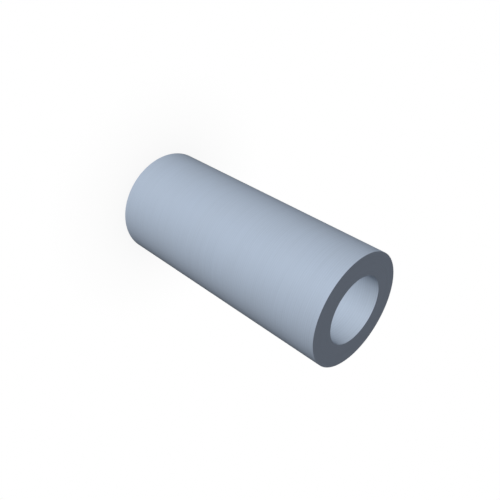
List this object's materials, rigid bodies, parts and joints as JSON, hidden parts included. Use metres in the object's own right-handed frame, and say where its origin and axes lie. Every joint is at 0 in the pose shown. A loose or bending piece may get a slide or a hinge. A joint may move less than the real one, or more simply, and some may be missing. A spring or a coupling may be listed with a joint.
{
  "type": "spacer sleeve",
  "caption": "Plain round spacer sleeve: a straight turned tube with square ends that slips over a screw and holds parts a set distance apart.",
  "frame": {"origin": "centre of the lower end face, on the bore's axis", "axes": "+Z along the bore, up from the lower end face to the upper one; X and Y are any pair across it, since the sleeve is round"},
  "size_m": [0.0112, 0.0112, 0.0254],
  "materials": {
    "plated_steel": "fine turned steel, zinc plated with a pale blue passivate, satin"
  },
  "bodies": {
    "root": {"sleeve": "plated_steel"}
  },
  "joints": []
}
